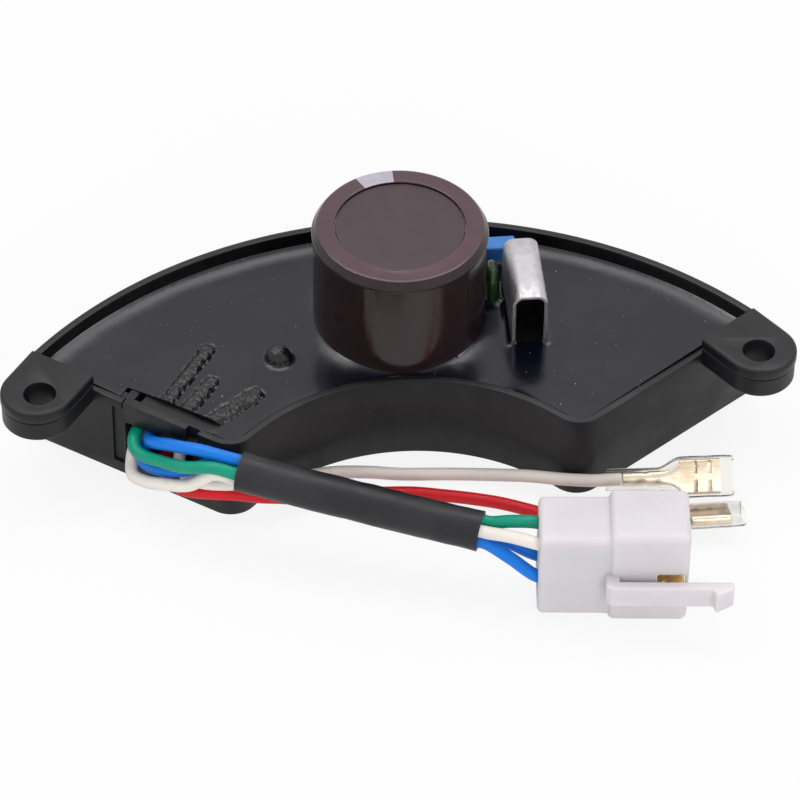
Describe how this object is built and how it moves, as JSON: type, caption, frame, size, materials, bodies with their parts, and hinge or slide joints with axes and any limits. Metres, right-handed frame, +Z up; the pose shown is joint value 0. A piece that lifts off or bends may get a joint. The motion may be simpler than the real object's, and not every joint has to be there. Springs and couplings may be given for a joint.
{
  "type": "automatic voltage regulator",
  "caption": "Potted generator voltage regulator: black crescent tray with two lugs, tall maroon capacitor, metal clip, short wire harness with white plug and two spades",
  "frame": {"origin": "centre of the bounding box's bottom, on the tray's flat underside, measured without the leads and what they carry", "axes": "+X along the line through the two mounting holes, to the right as seen with the wires in front; +Y from the recess to the curved outer rim; +Z up, the way the capacitor points"},
  "size_m": [0.1664, 0.1066, 0.046],
  "materials": {
    "housing_black": "satin black moulding",
    "potting_resin": "glossy poured resin",
    "board_laminate": "bare laminate",
    "capacitor_film": "glossy maroon shrink film",
    "can_aluminium": "drawn",
    "clip_sheet": "dull rolled sheet",
    "tinned_metal": "tinned",
    "terminal_brass": "bright stamped",
    "seal_rubber": "matte",
    "foil_roll": "wound foil and paper",
    "component_epoxy": "moulded epoxy",
    "resistor_coat": "dipped coat",
    "blue_box": "glossy",
    "green_dip": "glossy dipped",
    "sleeve_black": "matte sleeving",
    "milky_nylon": "milky, slightly translucent",
    "clear_vinyl": "clear soft vinyl",
    "green_wire": "satin insulation",
    "blue_wire": "satin insulation",
    "white_wire": "satin insulation",
    "red_wire": "satin insulation"
  },
  "bodies": {
    "root": {"housing": "housing_black", "potting_compound": "potting_resin", "circuit_board": "board_laminate", "wire_outlet_insert": "housing_black", "capacitor_can": "can_aluminium", "capacitor_sleeve": "capacitor_film", "capacitor_end_disc": "capacitor_film", "capacitor_seal": "seal_rubber", "capacitor_winding": "foil_roll", "capacitor_pin_left": "tinned_metal", "capacitor_pin_right": "tinned_metal", "heat_sink_clip": "clip_sheet", "power_transistor": "component_epoxy", "trigger_thyristor": "component_epoxy", "rectifier_diode_1": "component_epoxy", "rectifier_diode_2": "component_epoxy", "flywheel_diode": "component_epoxy", "zener_diode": "component_epoxy", "dropper_resistor": "resistor_coat", "sensing_resistor": "resistor_coat", "small_electrolytic": "can_aluminium", "film_capacitor_blue": "blue_box", "film_capacitor_green": "green_dip", "green_lead": "green_wire", "blue_upper_lead": "blue_wire", "blue_lower_lead": "blue_wire", "white_lead": "white_wire", "red_brush_lead": "red_wire", "white_brush_lead": "white_wire", "harness_sleeve": "sleeve_black", "connector_housing": "milky_nylon", "tab_terminal_1": "terminal_brass", "tab_terminal_2": "terminal_brass", "tab_terminal_3": "terminal_brass", "tab_terminal_4": "terminal_brass", "white_spade": "tinned_metal", "white_spade_cover": "clear_vinyl", "red_spade": "tinned_metal", "red_spade_cover": "clear_vinyl"}
  },
  "joints": []
}
